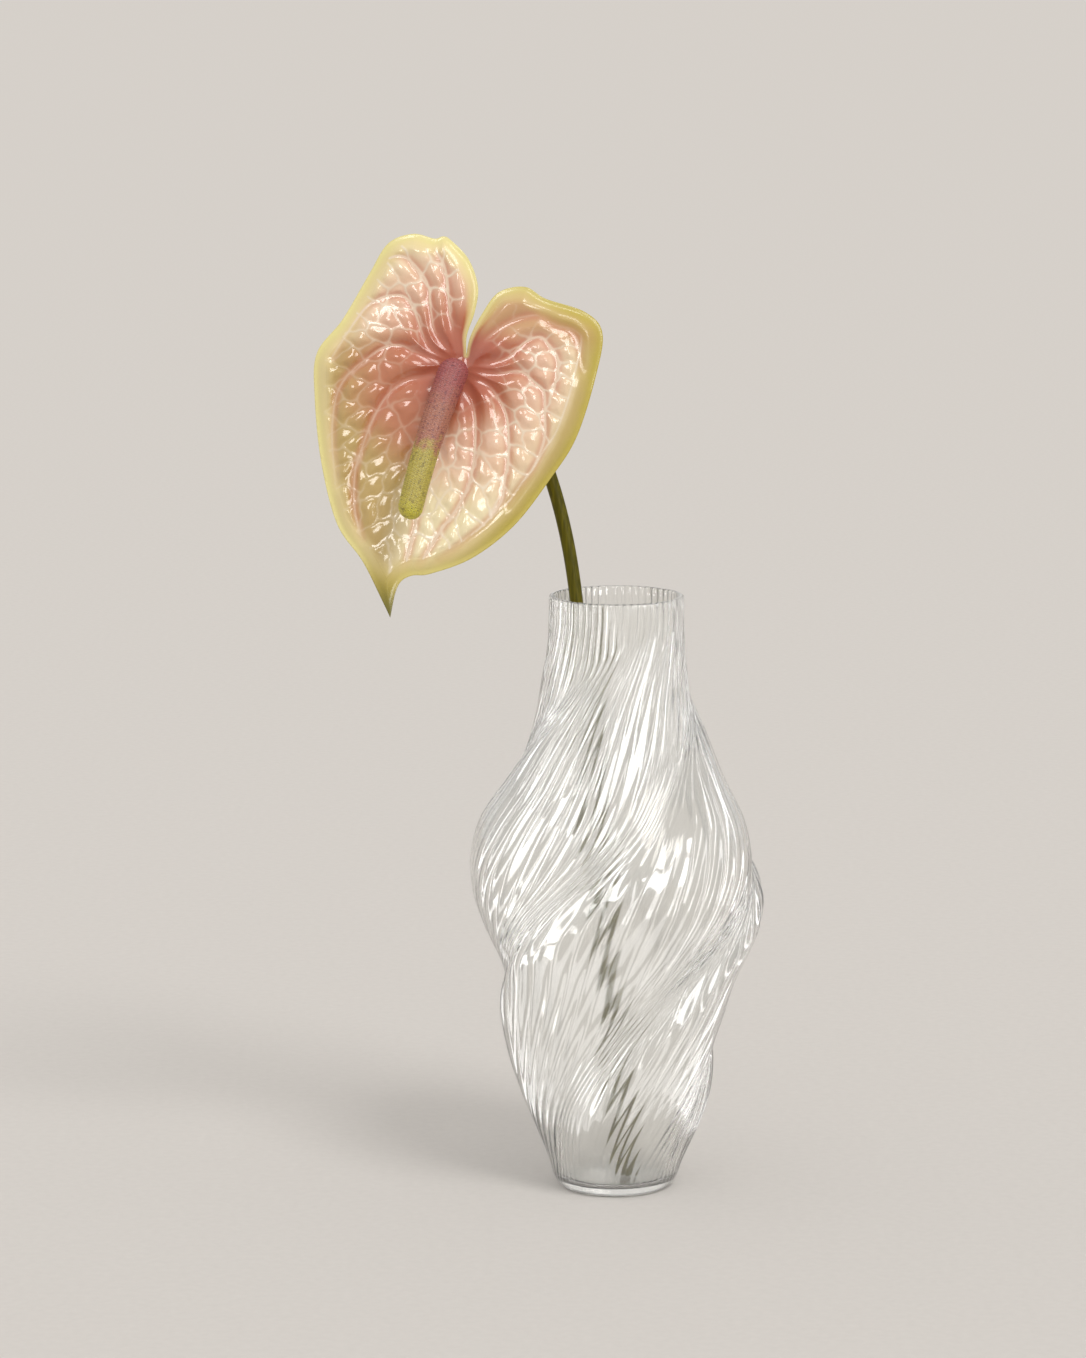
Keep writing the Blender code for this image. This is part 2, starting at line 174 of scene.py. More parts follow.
# The blade's form: how far each part stands forward or back of the plane.
RIGHT_FALL_MM = 9.0
LEFT_FALL_MM = 4.0
LOBE_WIDTH_MM = 60.0
BASE_DIP_MM = 5.0
BASE_DIP_WIDTH_MM = 13.0
BASE_MIDDLE_MM = (-2.0, 6.0)
TOP_RISE_MM = 4.0
TOP_MM = 45.0
MIDRIB_DIP_MM = 4.0
MIDRIB_MM = 110.0
ROLLED_MARGIN_MM = 2.5
ROLLED_WIDTH_MM = 4.0
PILLOW_HEIGHT_MM = 1.8
BASE_RIDGE_SHARE = 0.8
BASE_RIDGE_MM = (22.0, 12.0)
VEIN_WIDTH_MM = 3.6
RELIEF_FROM_EDGE_MM = (2.0, 7.0)
RELIEF_FROM_BASE_MM = (0.0, 16.0)
# The net of fine veins: its cells lie longer along the line from the base, each bulges by its own share,
# and they are kept apart by a random share of their width.
CELL_ACROSS_MM = 6.8
CELL_SPACING_SHARES = (0.72, 1.25)
CELL_STRETCH = 1.45
CELL_WAVER_MM = 0.9
CELL_HEIGHT_MM = 1.6
CELL_EDGE_MM = 2.4
CELL_LIFTS = (0.5, 1.15)
CELL_FROM_VEIN_MM = 4.0
CORNER_ROUND_MM = 0.5
NET_STARTS_MM = (16.0, 36.0)
LINE_HEIGHT_MM = 0.22
LINE_WIDTH_MM = 0.34
MAIN_LINE_WIDTH_MM = 1.3 * LINE_WIDTH_MM
HIDDEN_LINE_MM = 1.5
CELL_SEED = 11
# The smooth margin: its width on the left and on the right, and how it wavers and narrows by the notch.
MARGIN_MM = (4.2, 9.5)
MARGIN_WIDENS_MM = (-40.0, 40.0)
MARGIN_WAVER_MM = 0.5
MARGIN_WAVES_MM = (3.1, 3.7)
MARGIN_EDGE_MM = 1.5
NOTCH_MARGIN_MM = 25.0
NOTCH_NARROWING = 0.85
# The right lobe's upper part, smooth and tan: where it starts across and above the base, how its lower end
# slopes up towards the notch, and how much of the net fades there.
UPPER_RIGHT_ACROSS_MM = (-2.0, 6.0)
UPPER_RIGHT_ABOVE_MM = (14.0, 22.0)
UPPER_RIGHT_SLOPE = 0.25
UPPER_RIGHT_BEND_MM = 30.0
UPPER_RIGHT_FADE = 0.85
# The golden lower left, darker as partly painted shade, where the veins show less, and the right side,
# where the rim is a deeper colour, partly painted shade.
GOLDEN_SHADE_LEFT_MM = (0.0, 14.0)
GOLDEN_SHADE_DOWN_MM = (-4.0, 12.0)
GOLDEN_SHADE_FADE = 0.75
RIGHT_SIDE_MM = (-10.0, 40.0)
# The margin's colours are narrower where its distance counts for more: on the left, and by the notch.
LEFT_MARGIN_SHARE = 1.2
RIGHT_MARGIN_SHARE = 0.95
NOTCH_MARGIN_SHARE = 6.0
NOTCH_COLOUR_MM = 22.0
# Where the spathe's colours come in, from none to full: counted from the base, from the margin's edge, down
# the blade, and from a main vein.
GOLD_FROM_BASE_MM = (38.0, 66.0)
SALMON_FROM_BASE_MM = (45.0, 18.0)
BRICK_FROM_BASE_MM = (30.0, 8.0)
BACK_BRICK_FROM_BASE_MM = (60.0, 8.0)
GOLDEN_SHADE_SALMON_SHIFT_MM = 14.0
BASE_WANDER_MM = 24.0
TAN_FROM_EDGE_MM = (12.0, 5.0)
RIM_FROM_EDGE_MM = (6.0, 0.0)
BACK_RIM_FROM_EDGE_MM = (9.0, 1.0)
DULL_FROM_EDGE_MM = (9.0, 4.0)
EDGE_WANDER_MM = 5.0
TIP_DOWN_MM = (92.0, 110.0)
TIP_END_DOWN_MM = (100.0, 119.0)
# The flush along the main veins is partly the veins' pink and partly painted shade in their grooves.
FLUSH_AND_SHADE_FROM_VEIN_MM = (3.4, 0.6)
# On the back the main veins are paler, partly their own tone and partly a painted highlight on their raised
# ridges.
BACK_VEIN_HIGHLIGHT_MM = (2.2, 0.4)

# Spadix: its two ends, its radii and its florets, which sit where two families of spirals cross.
SPADIX_BASE = Vector((-0.0702, -0.0117, 0.3762))
SPADIX_TIP = Vector((-0.0914, -0.0495, 0.3110))
SPADIX_BOW = 0.0015
SPADIX_RADIUS_MM = [(0.0, 6.9), (0.3, 6.2), (0.75, 5.6), (1.0, 5.3)]
SPIRALS = (8, 13)
SPIRAL_STEP = 0.0018
FLORET_HEIGHT = 0.0005
FLORET_POWER = 2.5
PIT_WIDTH = 0.2
PIT_DEPTH = 0.9
SPADIX_COLUMNS = 216
SPADIX_RINGS = 380
ENDS_SHARE = 0.25
FIRST_RING = 0.0003
FIRST_RING_ANGLE = 0.04
# Where the spadix's colours come in, as shares of its length.
PALE_PINK_FROM = (0.08, 0.4)
GREEN_FROM = (0.5, 0.64)
BRIGHT_GREEN_FROM = (0.85, 1.05)

# Stage floor: a wide plain disc, just under the vase's foot.
STAGE_RADIUS = 30.0
STAGE_GAP = 0.0003

# Light: a soft sun and a pale sky. The strips and panels show only as reflections, the strips on the glass
# alone and the panels on every piece. They face the object's middle, but for the ring of low strips, which
# faces up and leans in.
MIDDLE = (-0.03, 0.0, 0.2)
SUN_PLACE = (0.9, -1.3, 1.8)
SUN_POWER = 0.9
SUN_ANGLE_DEG = 22
SKY_STRENGTH = 0.88
STRIPS = 13
STRIP_ARC_DEG = 114
STRIP_RING = 0.36
STRIP_SIZE = (0.03, 0.44)
STRIP_POWER = 0.19
LOW_STRIP_RING = 0.2
LOW_STRIP_Z = 0.04
LOW_STRIP_LEAN = 0.3
LOW_STRIP_SIZE = (0.022, 0.26)
LOW_STRIP_POWER = 0.04
LEFT_STRIP_PLACE = (-0.42, -0.16, 0.2)
LEFT_STRIP_SIZE = (0.1, 0.5)
LEFT_STRIP_POWER = 1.4
LEFT_LOW_PLACE = (-0.17, -0.06, 0.002)
LEFT_LOW_SIZE = (0.1, 0.14)
LEFT_LOW_POWER = 0.26
PANEL_PLACES = [(0.8, -1.3, 0.7), (-0.9, -1.3, 1.5)]
PANEL_SIZE = (0.75, 0.75)
PANEL_POWERS = [11.0, 15.0]
LIGHT_BOUNCES = 24


def srgb(red, green, blue):
    """The linear colour of an sRGB triple of 0 to 255."""
    shares = [part / 255 for part in (red, green, blue)]
    linear = [s / 12.92 if s < 0.04045 else ((s + 0.055) / 1.055) ** 2.4 for s in shares]
    return (*linear, 1.0)


def ramp(value, low, high):
    """From 0 at the low end to 1 at the high end, and level past them."""
    return np.clip((value - low) / (high - low), 0, 1)


def bell(distance, width):
    """1 at no distance, falling away smoothly over about this width."""
    return np.exp(-((distance / width) ** 2))


def smooth_value(points, at):
    """A smooth curve through (position, value) points that never overshoots between them."""
    x, y = np.array(points, float).T
    at = np.clip(at, x[0], x[-1])
    steps = np.diff(y) / np.diff(x)
    slopes = np.concatenate([[steps[0]], (steps[1:] + steps[:-1]) / 2, [steps[-1]]])
    turning = np.concatenate([[False], steps[1:] * steps[:-1] <= 0, [False]])
    slopes[turning] = 0.0
    most = 3 * np.minimum(np.abs(np.append(steps, steps[-1])), np.abs(np.insert(steps, 0, steps[0])))
    slopes = np.clip(slopes, -most, most)
    i = np.clip(np.searchsorted(x, at, side="right") - 1, 0, len(x) - 2)
    width = x[i + 1] - x[i]
    t = (at - x[i]) / width
    rise = y[i] * (1 + 2 * t) * (1 - t) ** 2 + y[i + 1] * t**2 * (3 - 2 * t)
    return rise + width * (slopes[i] * t * (1 - t) ** 2 - slopes[i + 1] * t**2 * (1 - t))


def smooth_path(points, count):
    """Points spread evenly along a Catmull-Rom curve through the given ones."""
    points = np.array(points, float)
    padded = np.concatenate([[2 * points[0] - points[1]], points, [2 * points[-1] - points[-2]]])
    fine = []
    for a, b, c, d in zip(padded, padded[1:], padded[2:], padded[3:]):
        bend = 2 * a - 5 * b + 4 * c - d
        twist = 3 * b - a - 3 * c + d
        for t in np.linspace(0, 1, PATH_STEPS, endpoint=False):
            fine.append(0.5 * (2 * b + (c - a) * t + bend * t**2 + twist * t**3))
    fine = np.array(fine + [points[-1]])
    along = np.concatenate([[0], np.cumsum(np.linalg.norm(np.diff(fine, axis=0), axis=1))])
    wanted = np.linspace(0, along[-1], count)
    return np.stack([np.interp(wanted, along, fine[:, k]) for k in range(fine.shape[1])], axis=1)


def path_length(points):
    return np.linalg.norm(np.diff(np.array(points, float), axis=0), axis=1).sum()


# Meshes and pieces


def mesh_of(name, points, faces, values=None):
    """A smooth-shaded mesh, with one number a point for each named value that its material reads."""
    mesh = bpy.data.meshes.new(name)
    mesh.from_pydata(points.tolist(), [], faces)
    for value_name, numbers in (values or {}).items():
        layer = mesh.attributes.new(value_name, "FLOAT", "POINT")
        layer.data.foreach_set("value", np.asarray(numbers, np.float32))
    mesh.shade_smooth()
    mesh.update()
    return mesh


def loft_faces(rings, columns):
    """Quads between closed rings of points, and one face over the first ring and the last."""
    low = np.arange(rings - 1)[:, None] * columns + np.arange(columns)
    low_next = np.arange(rings - 1)[:, None] * columns + (np.arange(columns) + 1) % columns
    quads = np.stack([low, low_next, low_next + columns, low + columns], axis=-1).reshape(-1, 4).tolist()
    first = list(range(columns))
    last = list(range((rings - 1) * columns, rings * columns))
    return quads + [first[::-1], last]


def add_piece(name, mesh, surface, node):
    """Shows a mesh in place of a CAD node and lets it ride on the one body."""
    piece = bpy.data.objects.new(name, mesh)
    mesh.materials.append(surface)
    bpy.context.scene.collection.objects.link(piece)
    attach(piece, "root")
    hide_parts(node)
    return piece


# Materials


def new_material(name, base, roughness, **sockets):
    """A Principled material. Underscores in a socket's name stand for spaces."""
    made = bpy.data.materials.new(name)
    made.use_nodes = True
    shader = made.node_tree.nodes["Principled BSDF"]
    shader.inputs["Base Color"].default_value = base
    shader.inputs["Roughness"].default_value = roughness
    for socket, value in sockets.items():
        shader.inputs[socket.replace("_", " ")].default_value = value
    return made


def add_node(surface, kind, **settings):
    node = surface.node_tree.nodes.new(kind)
    for name, value in settings.items():
        setattr(node, name, value)
    return node


def connect(surface, source, target):
    surface.node_tree.links.new(source, target)


def value_of(surface, name):
    """The output that reads one of the mesh's named values."""
    return add_node(surface, "ShaderNodeAttribute", attribute_name=name).outputs["Fac"]


def noise(surface, scale, detail=3.0, stretch=(1, 1, 1)):
    place = add_node(surface, "ShaderNodeTexCoord")
    sized = add_node(surface, "ShaderNodeMapping")
    sized.inputs["Scale"].default_value = stretch
    made = add_node(surface, "ShaderNodeTexNoise")
    made.inputs["Scale"].default_value = scale
    made.inputs["Detail"].default_value = detail
    connect(surface, place.outputs["Object"], sized.inputs["Vector"])
    connect(surface, sized.outputs["Vector"], made.inputs["Vector"])
    return made.outputs["Fac"]


def calculate(surface, operation, first, second):
    """A Math node on two outputs or numbers."""
    node = add_node(surface, "ShaderNodeMath", operation=operation)
    for socket, value in zip(node.inputs, (first, second)):
        if isinstance(value, (int, float)):
            socket.default_value = value
        else:
            connect(surface, value, socket)
    return node.outputs["Value"]


def moved_by(surface, source, waver, amount):
    """The source moved up and down by a noise, by up to half the amount each way."""
    centred = calculate(surface, "SUBTRACT", waver, 0.5)
    return calculate(surface, "ADD", source, calculate(surface, "MULTIPLY", centred, amount))


def ranged(surface, source, low, high, to_low=0.0, to_high=1.0):
    """The source's range from low to high, smoothly turned into the range from to_low to to_high."""
    node = add_node(surface, "ShaderNodeMapRange", interpolation_type="SMOOTHSTEP")
    for socket, value in (("From Min", low), ("From Max", high), ("To Min", to_low), ("To Max", to_high)):
        node.inputs[socket].default_value = value
    connect(surface, source, node.inputs["Value"])
    return node.outputs["Result"]


def mixed(surface, share, first, second):
    """Blends two colours, each an output or a plain colour."""
    node = add_node(surface, "ShaderNodeMix", data_type="RGBA")
    connect(surface, share, node.inputs["Factor"])
    for socket, value in ((node.inputs[6], first), (node.inputs[7], second)):
        if isinstance(value, tuple):
            socket.default_value = value
        else:
            connect(surface, value, socket)
    return node.outputs[2]


def bump(surface, height, distance, strength):
    node = add_node(surface, "ShaderNodeBump")
    node.inputs["Strength"].default_value = strength
    node.inputs["Distance"].default_value = distance
    connect(surface, height, node.inputs["Height"])
    shader = surface.node_tree.nodes["Principled BSDF"]
    connect(surface, node.outputs["Normal"], shader.inputs["Normal"])


def set_input(surface, socket, source):
    connect(surface, source, surface.node_tree.nodes["Principled BSDF"].inputs[socket])


# Vase


def steep_wave(turn, sharpness):
    """A wave that rises steeply at the start of each turn and falls slowly after it."""
    return sum(sharpness ** (n - 1) * np.sin(n * turn) / n for n in range(1, WAVE_TERMS + 1))


def fold_turn(pattern_deg):
    """How far along its fold each place of the folds' pattern is, where a full turn is two pi."""
    starts = np.array(FOLD_DEG + [FOLD_DEG[0] + 360], float)
    turned = (pattern_deg - starts[0]) % 360 + starts[0]
    i = np.clip(np.searchsorted(starts, turned, side="right") - 1, 0, len(FOLD_DEG) - 1)
    return 2 * math.pi * (turned - starts[i]) / (starts[i + 1] - starts[i])


def rib_azimuth(rib_deg, height):
    """Where round the vase a rib stands at this height, found by a few steps towards the answer."""
    swirl = smooth_value(TWIST_DEG, height) + RIB_BEND_SHIFT_DEG
    most = smooth_value(RIB_BEND_DEG, height)
    straight = rib_deg - smooth_value(RIB_TWIST_DEG, height)
    azimuth = straight
    for _ in range(BEND_STEPS):
        bend = most * steep_wave(fold_turn(azimuth + swirl), RIB_BEND_SHARPNESS)
        azimuth = azimuth - BEND_STEP_SHARE * (azimuth + bend - straight)
    return azimuth


def slow_waves(waves, around, height):
    """The sum of the waves that make the ribs uneven, at this angle round the vase and this height."""
    return sum(size * np.sin(count * around + height / shift) for size, count, shift in waves)


def rib_wave(rib_deg, height):
    """Narrow rounded ribs that vary a little in width and depth, as in hand-worked glass."""
    around = np.radians(rib_deg)
    crest = 0.5 + 0.5 * np.cos(RIBS * around + slow_waves(RIB_DRIFT_WAVES, around, height))
    return (1 + slow_waves(RIB_DEPTH_WAVES, around, height)) * (crest**RIB_CREST_POWER - RIB_SINK)


def vase_ring(rib_deg, z, inset, ribbed, share=1.0):
    """A ring of the vase's wall: this far inside its surface, and drawn in to this share of its radius."""
    height = z / MM
    azimuth = rib_azimuth(rib_deg, height)
    folds = steep_wave(fold_turn(azimuth + smooth_value(TWIST_DEG, height)), FOLD_SHARPNESS)
    radius = smooth_value(VASE_PROFILE_MM, height) * MM * (1 + smooth_value(FOLD_SHARE, height) * folds)
    if ribbed:
        radius = radius + smooth_value(RIB_HEIGHT_MM, height) * MM * rib_wave(rib_deg, height)
    radius = (radius - inset) * share
    turned = np.radians(azimuth)
    return np.stack([radius * np.sin(turned), -radius * np.cos(turned), np.full_like(turned, z)], axis=1)


def build_vase():
    columns = RIBS * SAMPLES_A_RIB
    rib_deg = np.arange(columns) * 360 / columns
    lip_z = VASE_HEIGHT - LIP_ROUND
    rings = [vase_ring(rib_deg, 0, 0, False, share) for share in FOOT_SHARES]
    outside = np.concatenate([FOOT_EDGE_HEIGHTS, np.linspace(WALL_STARTS, lip_z, OUTER_ROWS)])
    rings += [vase_ring(rib_deg, z, 0, True) for z in outside]
    for angle in np.linspace(0, math.pi, LIP_STEPS + 1)[1:-1]:
        inset = WALL / 2 * (1 - math.cos(angle))
        rings.append(vase_ring(rib_deg, VASE_HEIGHT - LIP_ROUND * (1 - math.sin(angle)), inset, True))
    inside = np.linspace(lip_z, FLOOR_Z + FLOOR_CORNER, INNER_ROWS)
    rings += [vase_ring(rib_deg, z, WALL, False) for z in inside]
    for angle in np.linspace(0, math.pi / 2, CORNER_STEPS + 1)[1:]:
        z = FLOOR_Z + FLOOR_CORNER * (1 - math.sin(angle))
        rings.append(vase_ring(rib_deg, z, WALL + FLOOR_CORNER * (1 - math.cos(angle)), False))
    inset = WALL + FLOOR_CORNER
    rings += [vase_ring(rib_deg, FLOOR_Z, inset, False, share) for share in INSIDE_FLOOR_SHARES]
    mesh = mesh_of("vase_glass", np.concatenate(rings), loft_faces(len(rings), columns))
    return add_piece("vase_glass", mesh, glass_material(), "vase")


def glass_material():
    return new_material(
        "clear_glass", srgb(250, 250, 248), 0.13, Transmission_Weight=0.95, IOR=1.46, Coat_Weight=1.0,
        Coat_Roughness=0.03,
    )


# Stem


def build_stem():
    route = smooth_path(STEM_ROUTE_MM, STEM_RINGS) * MM
    ahead = np.gradient(route, axis=0)
    ahead /= np.linalg.norm(ahead, axis=1)[:, None]
    side = np.cross(ahead, (0.0, 1.0, 0.0))
    side /= np.linalg.norm(side, axis=1)[:, None]
    other = np.cross(ahead, side)
    angle = np.arange(STEM_COLUMNS) * 2 * math.pi / STEM_COLUMNS
    ridge = STEM_RIDGE_HEIGHT * np.cos(STEM_RIDGES * angle)
    radius = (STEM_DIAMETER / 2 - STEM_RIDGE_HEIGHT + ridge)[None, :, None]
    rings = route[:, None] + radius * (
        side[:, None] * np.cos(angle)[None, :, None] + other[:, None] * np.sin(angle)[None, :, None]
    )
    share = np.repeat(np.linspace(0, 1, STEM_RINGS), STEM_COLUMNS)
    mesh = mesh_of(
        "stem_stalk", rings.reshape(-1, 3), loft_faces(STEM_RINGS, STEM_COLUMNS), {"share": share}
    )
    add_piece("stem_stalk", mesh, stem_material(), "stem")


def stem_material():
    surface = new_material("stem_green", srgb(92, 86, 34), 0.5, Specular_IOR_Level=0.12)
    streaks = noise(surface, 900, 4, (1, 1, 0.04))
    blotches = noise(surface, 60)
    colour = mixed(surface, ranged(surface, streaks, 0.35, 0.7), srgb(80, 75, 10), srgb(108, 100, 18))
    colour = mixed(surface, ranged(surface, blotches, 0.45, 0.75), colour, srgb(80, 77, 14))
    share = value_of(surface, "share")
    colour = mixed(surface, ranged(surface, share, 0.93, 1.0), colour, srgb(128, 120, 60))
    set_input(surface, "Base Color", colour)
    bump(surface, streaks, 0.00006, 0.6)
    return surface


# Spathe


def blade_axes():
    """The blade's directions: across to the right, and down its midrib."""
    level = math.cos(SPATHE_ELEVATION)
    facing = Vector(
        (-math.sin(SPATHE_AZIMUTH) * level, -math.cos(SPATHE_AZIMUTH) * level, math.sin(SPATHE_ELEVATION))
    )
    steepest = Vector((0, 0, -1)) + facing * facing.z
    right = facing.cross(steepest).normalized()
    down = steepest.normalized()
    along = down * math.cos(SPATHE_ROLL) - right * math.sin(SPATHE_ROLL)
    across = right * math.cos(SPATHE_ROLL) + down * math.sin(SPATHE_ROLL)
    return across, along


def distance_to_line(points, line):
    """The distance of each flat point from a polyline."""
    nearest = np.full(len(points), np.inf)
    for a, b in zip(line[:-1], line[1:]):
        way = b - a
        t = np.clip((points - a) @ way / (way @ way), 0, 1)
        nearest = np.minimum(nearest, np.linalg.norm(points - a - t[:, None] * way, axis=1))
    return nearest


def blade_triangles():
    """The flat outline filled with even triangles."""
    left = smooth_path(LEFT_EDGE_MM, int(path_length(LEFT_EDGE_MM) / BLADE_SPACING_MM) + 2)
    right = smooth_path(RIGHT_EDGE_MM, int(path_length(RIGHT_EDGE_MM) / BLADE_SPACING_MM) + 2)
    edge = np.concatenate([left[:-1], right[:-1]])
    row_height = BLADE_SPACING_MM * math.sqrt(3) / 2
    low, high = edge.min(axis=0), edge.max(axis=0)
    rows = np.arange(math.floor(low[1] / row_height), math.ceil(high[1] / row_height) + 1)
    columns = np.arange(math.floor(low[0] / BLADE_SPACING_MM), math.ceil(high[0] / BLADE_SPACING_MM) + 1)
    row, column = (grid.ravel() for grid in np.meshgrid(rows, columns))
    lattice = np.stack([(column + row % 2 / 2) * BLADE_SPACING_MM, row * row_height], axis=1)
    loop = np.concatenate([edge, edge[:1]])
    lattice = lattice[distance_to_line(lattice, loop) > EDGE_CLEARANCE * BLADE_SPACING_MM]
    points = [Vector(p) for p in np.concatenate([edge, lattice])]
    sides = [(k, (k + 1) % len(edge)) for k in range(len(edge))]
    flat, _, faces, _, _, _ = delaunay_2d_cdt(points, sides, [], 1, 1e-5)
    flat, faces = np.array([tuple(p) for p in flat]), np.array(faces)
    used, renumbered = np.unique(faces, return_inverse=True)
    return flat[used], renumbered.reshape(-1, 3), loop


def cell_distance(points, seed):
    """How far the points are from a cell's seed, where cells are longer along the line from the base."""
    outward = seed / max(np.linalg.norm(seed), 1.0)
    offset = points - seed
    along = offset @ outward
    across = offset[:, 0] * outward[1] - offset[:, 1] * outward[0]
    return np.hypot(along / CELL_STRETCH, across)


def margin_width(flat, from_base):
    """How wide the smooth margin is: wider on the right, and narrow beside the notch."""
    u, v = flat.T
    narrow, wide = MARGIN_MM
    wave_across, wave_down = MARGIN_WAVES_MM
    width = narrow + (wide - narrow) * ramp(u, *MARGIN_WIDENS_MM)
    width = width + MARGIN_WAVER_MM * np.sin(u / wave_across) * np.sin(v / wave_down)
    return width * (1 - NOTCH_NARROWING * bell(from_base, NOTCH_MARGIN_MM))


def upper_right(flat):
    """From 0 to 1 on the right lobe's upper part, which is smooth and tan."""
    u, v = flat.T
    above = UPPER_RIGHT_SLOPE * np.maximum(UPPER_RIGHT_BEND_MM - u, 0) - v
    return ramp(u, *UPPER_RIGHT_ACROSS_MM) * ramp(above, *UPPER_RIGHT_ABOVE_MM)


def cell_seeds(flat, main, rng):
    """Seeds of the net's cells, kept apart, and picked midway between the main veins first."""
    chosen = []
    order = np.argsort(-np.minimum(main, CELL_FROM_VEIN_MM) - rng.uniform(0, 1, len(flat)))
    open_points = flat[order]
    while len(open_points):
        seed = open_points[0]
        chosen.append(seed)
        spacing = CELL_ACROSS_MM * rng.uniform(*CELL_SPACING_SHARES)
        open_points = open_points[cell_distance(open_points, seed) > spacing]
    return np.array(chosen)


def wavered(points):
    """The flat points, shifted by waves of 6 to 13 mm so that the cells' borders aren't straight."""
    u, v = points.T
    shift_u = np.sin(v / 1.9 + 0.4 * np.sin(u / 2.7)) + 0.6 * np.sin(v / 0.9 + u / 1.7)
    shift_v = np.sin(u / 2.1 + 0.5 * np.sin(v / 3.1)) + 0.6 * np.sin(u / 1.0 - v / 1.6)
    return points + CELL_WAVER_MM / 2 * np.stack([shift_u, shift_v], axis=1)


def cell_net(points, seeds, seed_lift):
    """For each point, how far the border of its cell is, with rounded corners, and that cell's own lift."""
    distances = np.array([cell_distance(points, seed) for seed in seeds])
    own = np.argmin(distances, axis=0)
    extra = distances - distances[own, np.arange(len(points))]
    neighbours = np.exp(-extra / CORNER_ROUND_MM).sum(axis=0) - 1
    border = -CORNER_ROUND_MM / 2 * np.log(np.maximum(neighbours, 1e-9))
    return np.clip(border, 0, CELL_ACROSS_MM), seed_lift[own]


def blade_fields(flat, loop):
    """What the blade's relief and colours are worked out from, at each flat point."""
    rng = np.random.default_rng(CELL_SEED)
    margin = distance_to_line(flat, loop)
    main = np.full(len(flat), np.inf)
    for back_vein_and_highlight in VEINS_MM:
        main = np.minimum(main, distance_to_line(flat, smooth_path(back_vein_and_highlight, VEIN_POINTS)))
    from_base = np.linalg.norm(flat - BASE_MIDDLE_MM, axis=1)
    inside = margin - margin_width(flat, from_base)
    seeds = cell_seeds(flat[inside > 1], main[inside > 1], rng)
    border, lift = cell_net(wavered(flat), seeds, rng.uniform(*CELL_LIFTS, len(seeds)))
    border = np.where(inside > 0, np.minimum(border, main), np.inf)
    right_side = ramp(flat[:, 0], *RIGHT_SIDE_MM)
    tan_part = upper_right(flat)
    return {
        "u": flat[:, 0],
        "v": flat[:, 1],
        "margin": margin,
        "main": main,
        "border": np.minimum(border, np.abs(inside)),
        "line": np.minimum(border, np.abs(inside) + HIDDEN_LINE_MM * (1 - right_side)),
        "right_side": right_side,
        "inside": ramp(inside, 0, MARGIN_EDGE_MM),
        "lift": lift,
        "from_base": from_base,
        "net": ramp(from_base, *NET_STARTS_MM) * (1 - UPPER_RIGHT_FADE * tan_part),
        "upper_right": tan_part,
    }


def blade_depth(f):
    """How far the blade stands forward of its flat plane, in millimetres."""
    u, v, margin = f["u"], f["v"], f["margin"]
    depth = -np.where(u > 0, RIGHT_FALL_MM, LEFT_FALL_MM) * (u / LOBE_WIDTH_MM) ** 2
    depth -= BASE_DIP_MM * bell(f["from_base"], BASE_DIP_WIDTH_MM)
    depth += TOP_RISE_MM * ramp(-v, 0, TOP_MM) ** 2
    depth -= MIDRIB_DIP_MM * np.sin(ramp(v, 0, MIDRIB_MM) * math.pi)
    depth -= ROLLED_MARGIN_MM * bell(margin, ROLLED_WIDTH_MM)
    ridge_middle, ridge_width = BASE_RIDGE_MM
    more = BASE_RIDGE_SHARE * bell(f["from_base"] - ridge_middle, ridge_width)
    pillow = PILLOW_HEIGHT_MM * (1 + more) * (1 - bell(f["main"], VEIN_WIDTH_MM))
    bulge = 1 - bell(f["border"], CELL_EDGE_MM)
    cells = CELL_HEIGHT_MM * f["lift"] * f["net"] * f["inside"] * bulge
    line = LINE_HEIGHT_MM * f["net"] * bell(f["border"], LINE_WIDTH_MM)
    relief = ramp(margin, *RELIEF_FROM_EDGE_MM) * ramp(f["from_base"], *RELIEF_FROM_BASE_MM)
    return depth + relief * (pillow + cells + line)


def build_spathe():
    flat, faces, loop = blade_triangles()
    fields = blade_fields(flat, loop)
    depth = blade_depth(fields)
    across, along = (np.array(axis) for axis in blade_axes())
    forward = np.array(FORWARD)
    front = np.array(SPATHE_BASE) + (
        flat[:, :1] * across + flat[:, 1:] * along + depth[:, None] * forward
    ) * MM
    back = front - forward * BLADE_THICKNESS
    count = len(flat)
    triangles = faces.tolist() + (faces[:, ::-1] + count).tolist() + edge_faces(faces, count)
    twice = {name: np.tile(values, 2) for name, values in colour_fields(fields).items()}
    twice["front"] = np.repeat([1.0, 0.0], count)
    mesh = mesh_of("spathe_blade", np.concatenate([front, back]), triangles, twice)
    add_piece("spathe_blade", mesh, spathe_material(), "spathe")


def edge_faces(faces, count):
    """The narrow faces that join the blade's front and back all round its outline."""
    directed = {(face[i], face[(i + 1) % 3]) for face in faces.tolist() for i in range(3)}
    return [(b, a, a + count, b + count) for a, b in directed if (b, a) not in directed]


def colour_fields(f):
    """The values that the material reads. The lower left is more golden and darker, partly painted shade,
    and its veins show less there.
    """
    golden_shade = ramp(-f["u"], *GOLDEN_SHADE_LEFT_MM) * ramp(f["v"], *GOLDEN_SHADE_DOWN_MM)
    # The veins show less in the painted shade of the golden lower left.
    shown = f["net"] * (1 - GOLDEN_SHADE_FADE * golden_shade)
    counted = LEFT_MARGIN_SHARE + (RIGHT_MARGIN_SHARE - LEFT_MARGIN_SHARE) * f["right_side"]
    counted = counted + NOTCH_MARGIN_SHARE * bell(f["from_base"], NOTCH_COLOUR_MM)
    return {
        "golden_shade": golden_shade,
        "right_side": f["right_side"],
        "margin_mm": f["margin"] * counted,
        "base_mm": f["from_base"],
        "down_mm": f["v"],
        "fine_line": bell(f["line"], LINE_WIDTH_MM) * shown,
        "main_line": bell(f["main"], MAIN_LINE_WIDTH_MM) * f["inside"] * shown,
        "main_mm": f["main"],
        "upper_right": f["upper_right"],
    }


